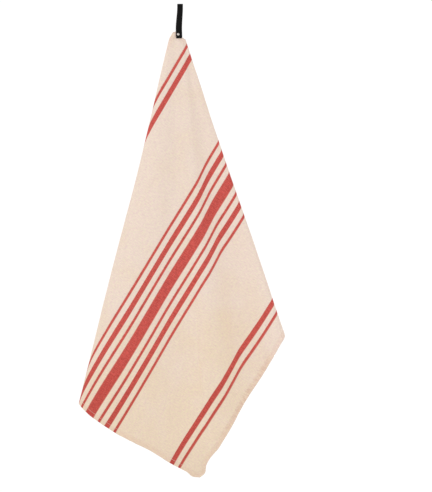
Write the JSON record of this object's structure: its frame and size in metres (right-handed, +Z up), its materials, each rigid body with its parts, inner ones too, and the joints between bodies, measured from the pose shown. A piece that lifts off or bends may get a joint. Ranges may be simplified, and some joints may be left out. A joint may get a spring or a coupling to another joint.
{
  "type": "tea towel with hanging loop",
  "caption": "Striped woven tea towel hung by one corner from a short riveted strap loop, draped in soft folds with its side corners turned behind.",
  "frame": {"origin": "inside of the strap loop's top, where it bears on whatever holds the towel up", "axes": "+Z up, the towel hangs down along -Z; +X to the viewer's right; the front of the towel faces -Y"},
  "size_m": [0.4165, 0.1005, 0.9559],
  "materials": {
    "towel": "plain woven cotton and linen in warm off-white with red stripes, matt",
    "strap": "black, semi-matt, cut edges",
    "rivet": "bright silver, domed head"
  },
  "bodies": {
    "root": {"towel_cloth": "towel", "hanging_loop": "strap", "loop_rivet": "rivet"}
  },
  "joints": []
}
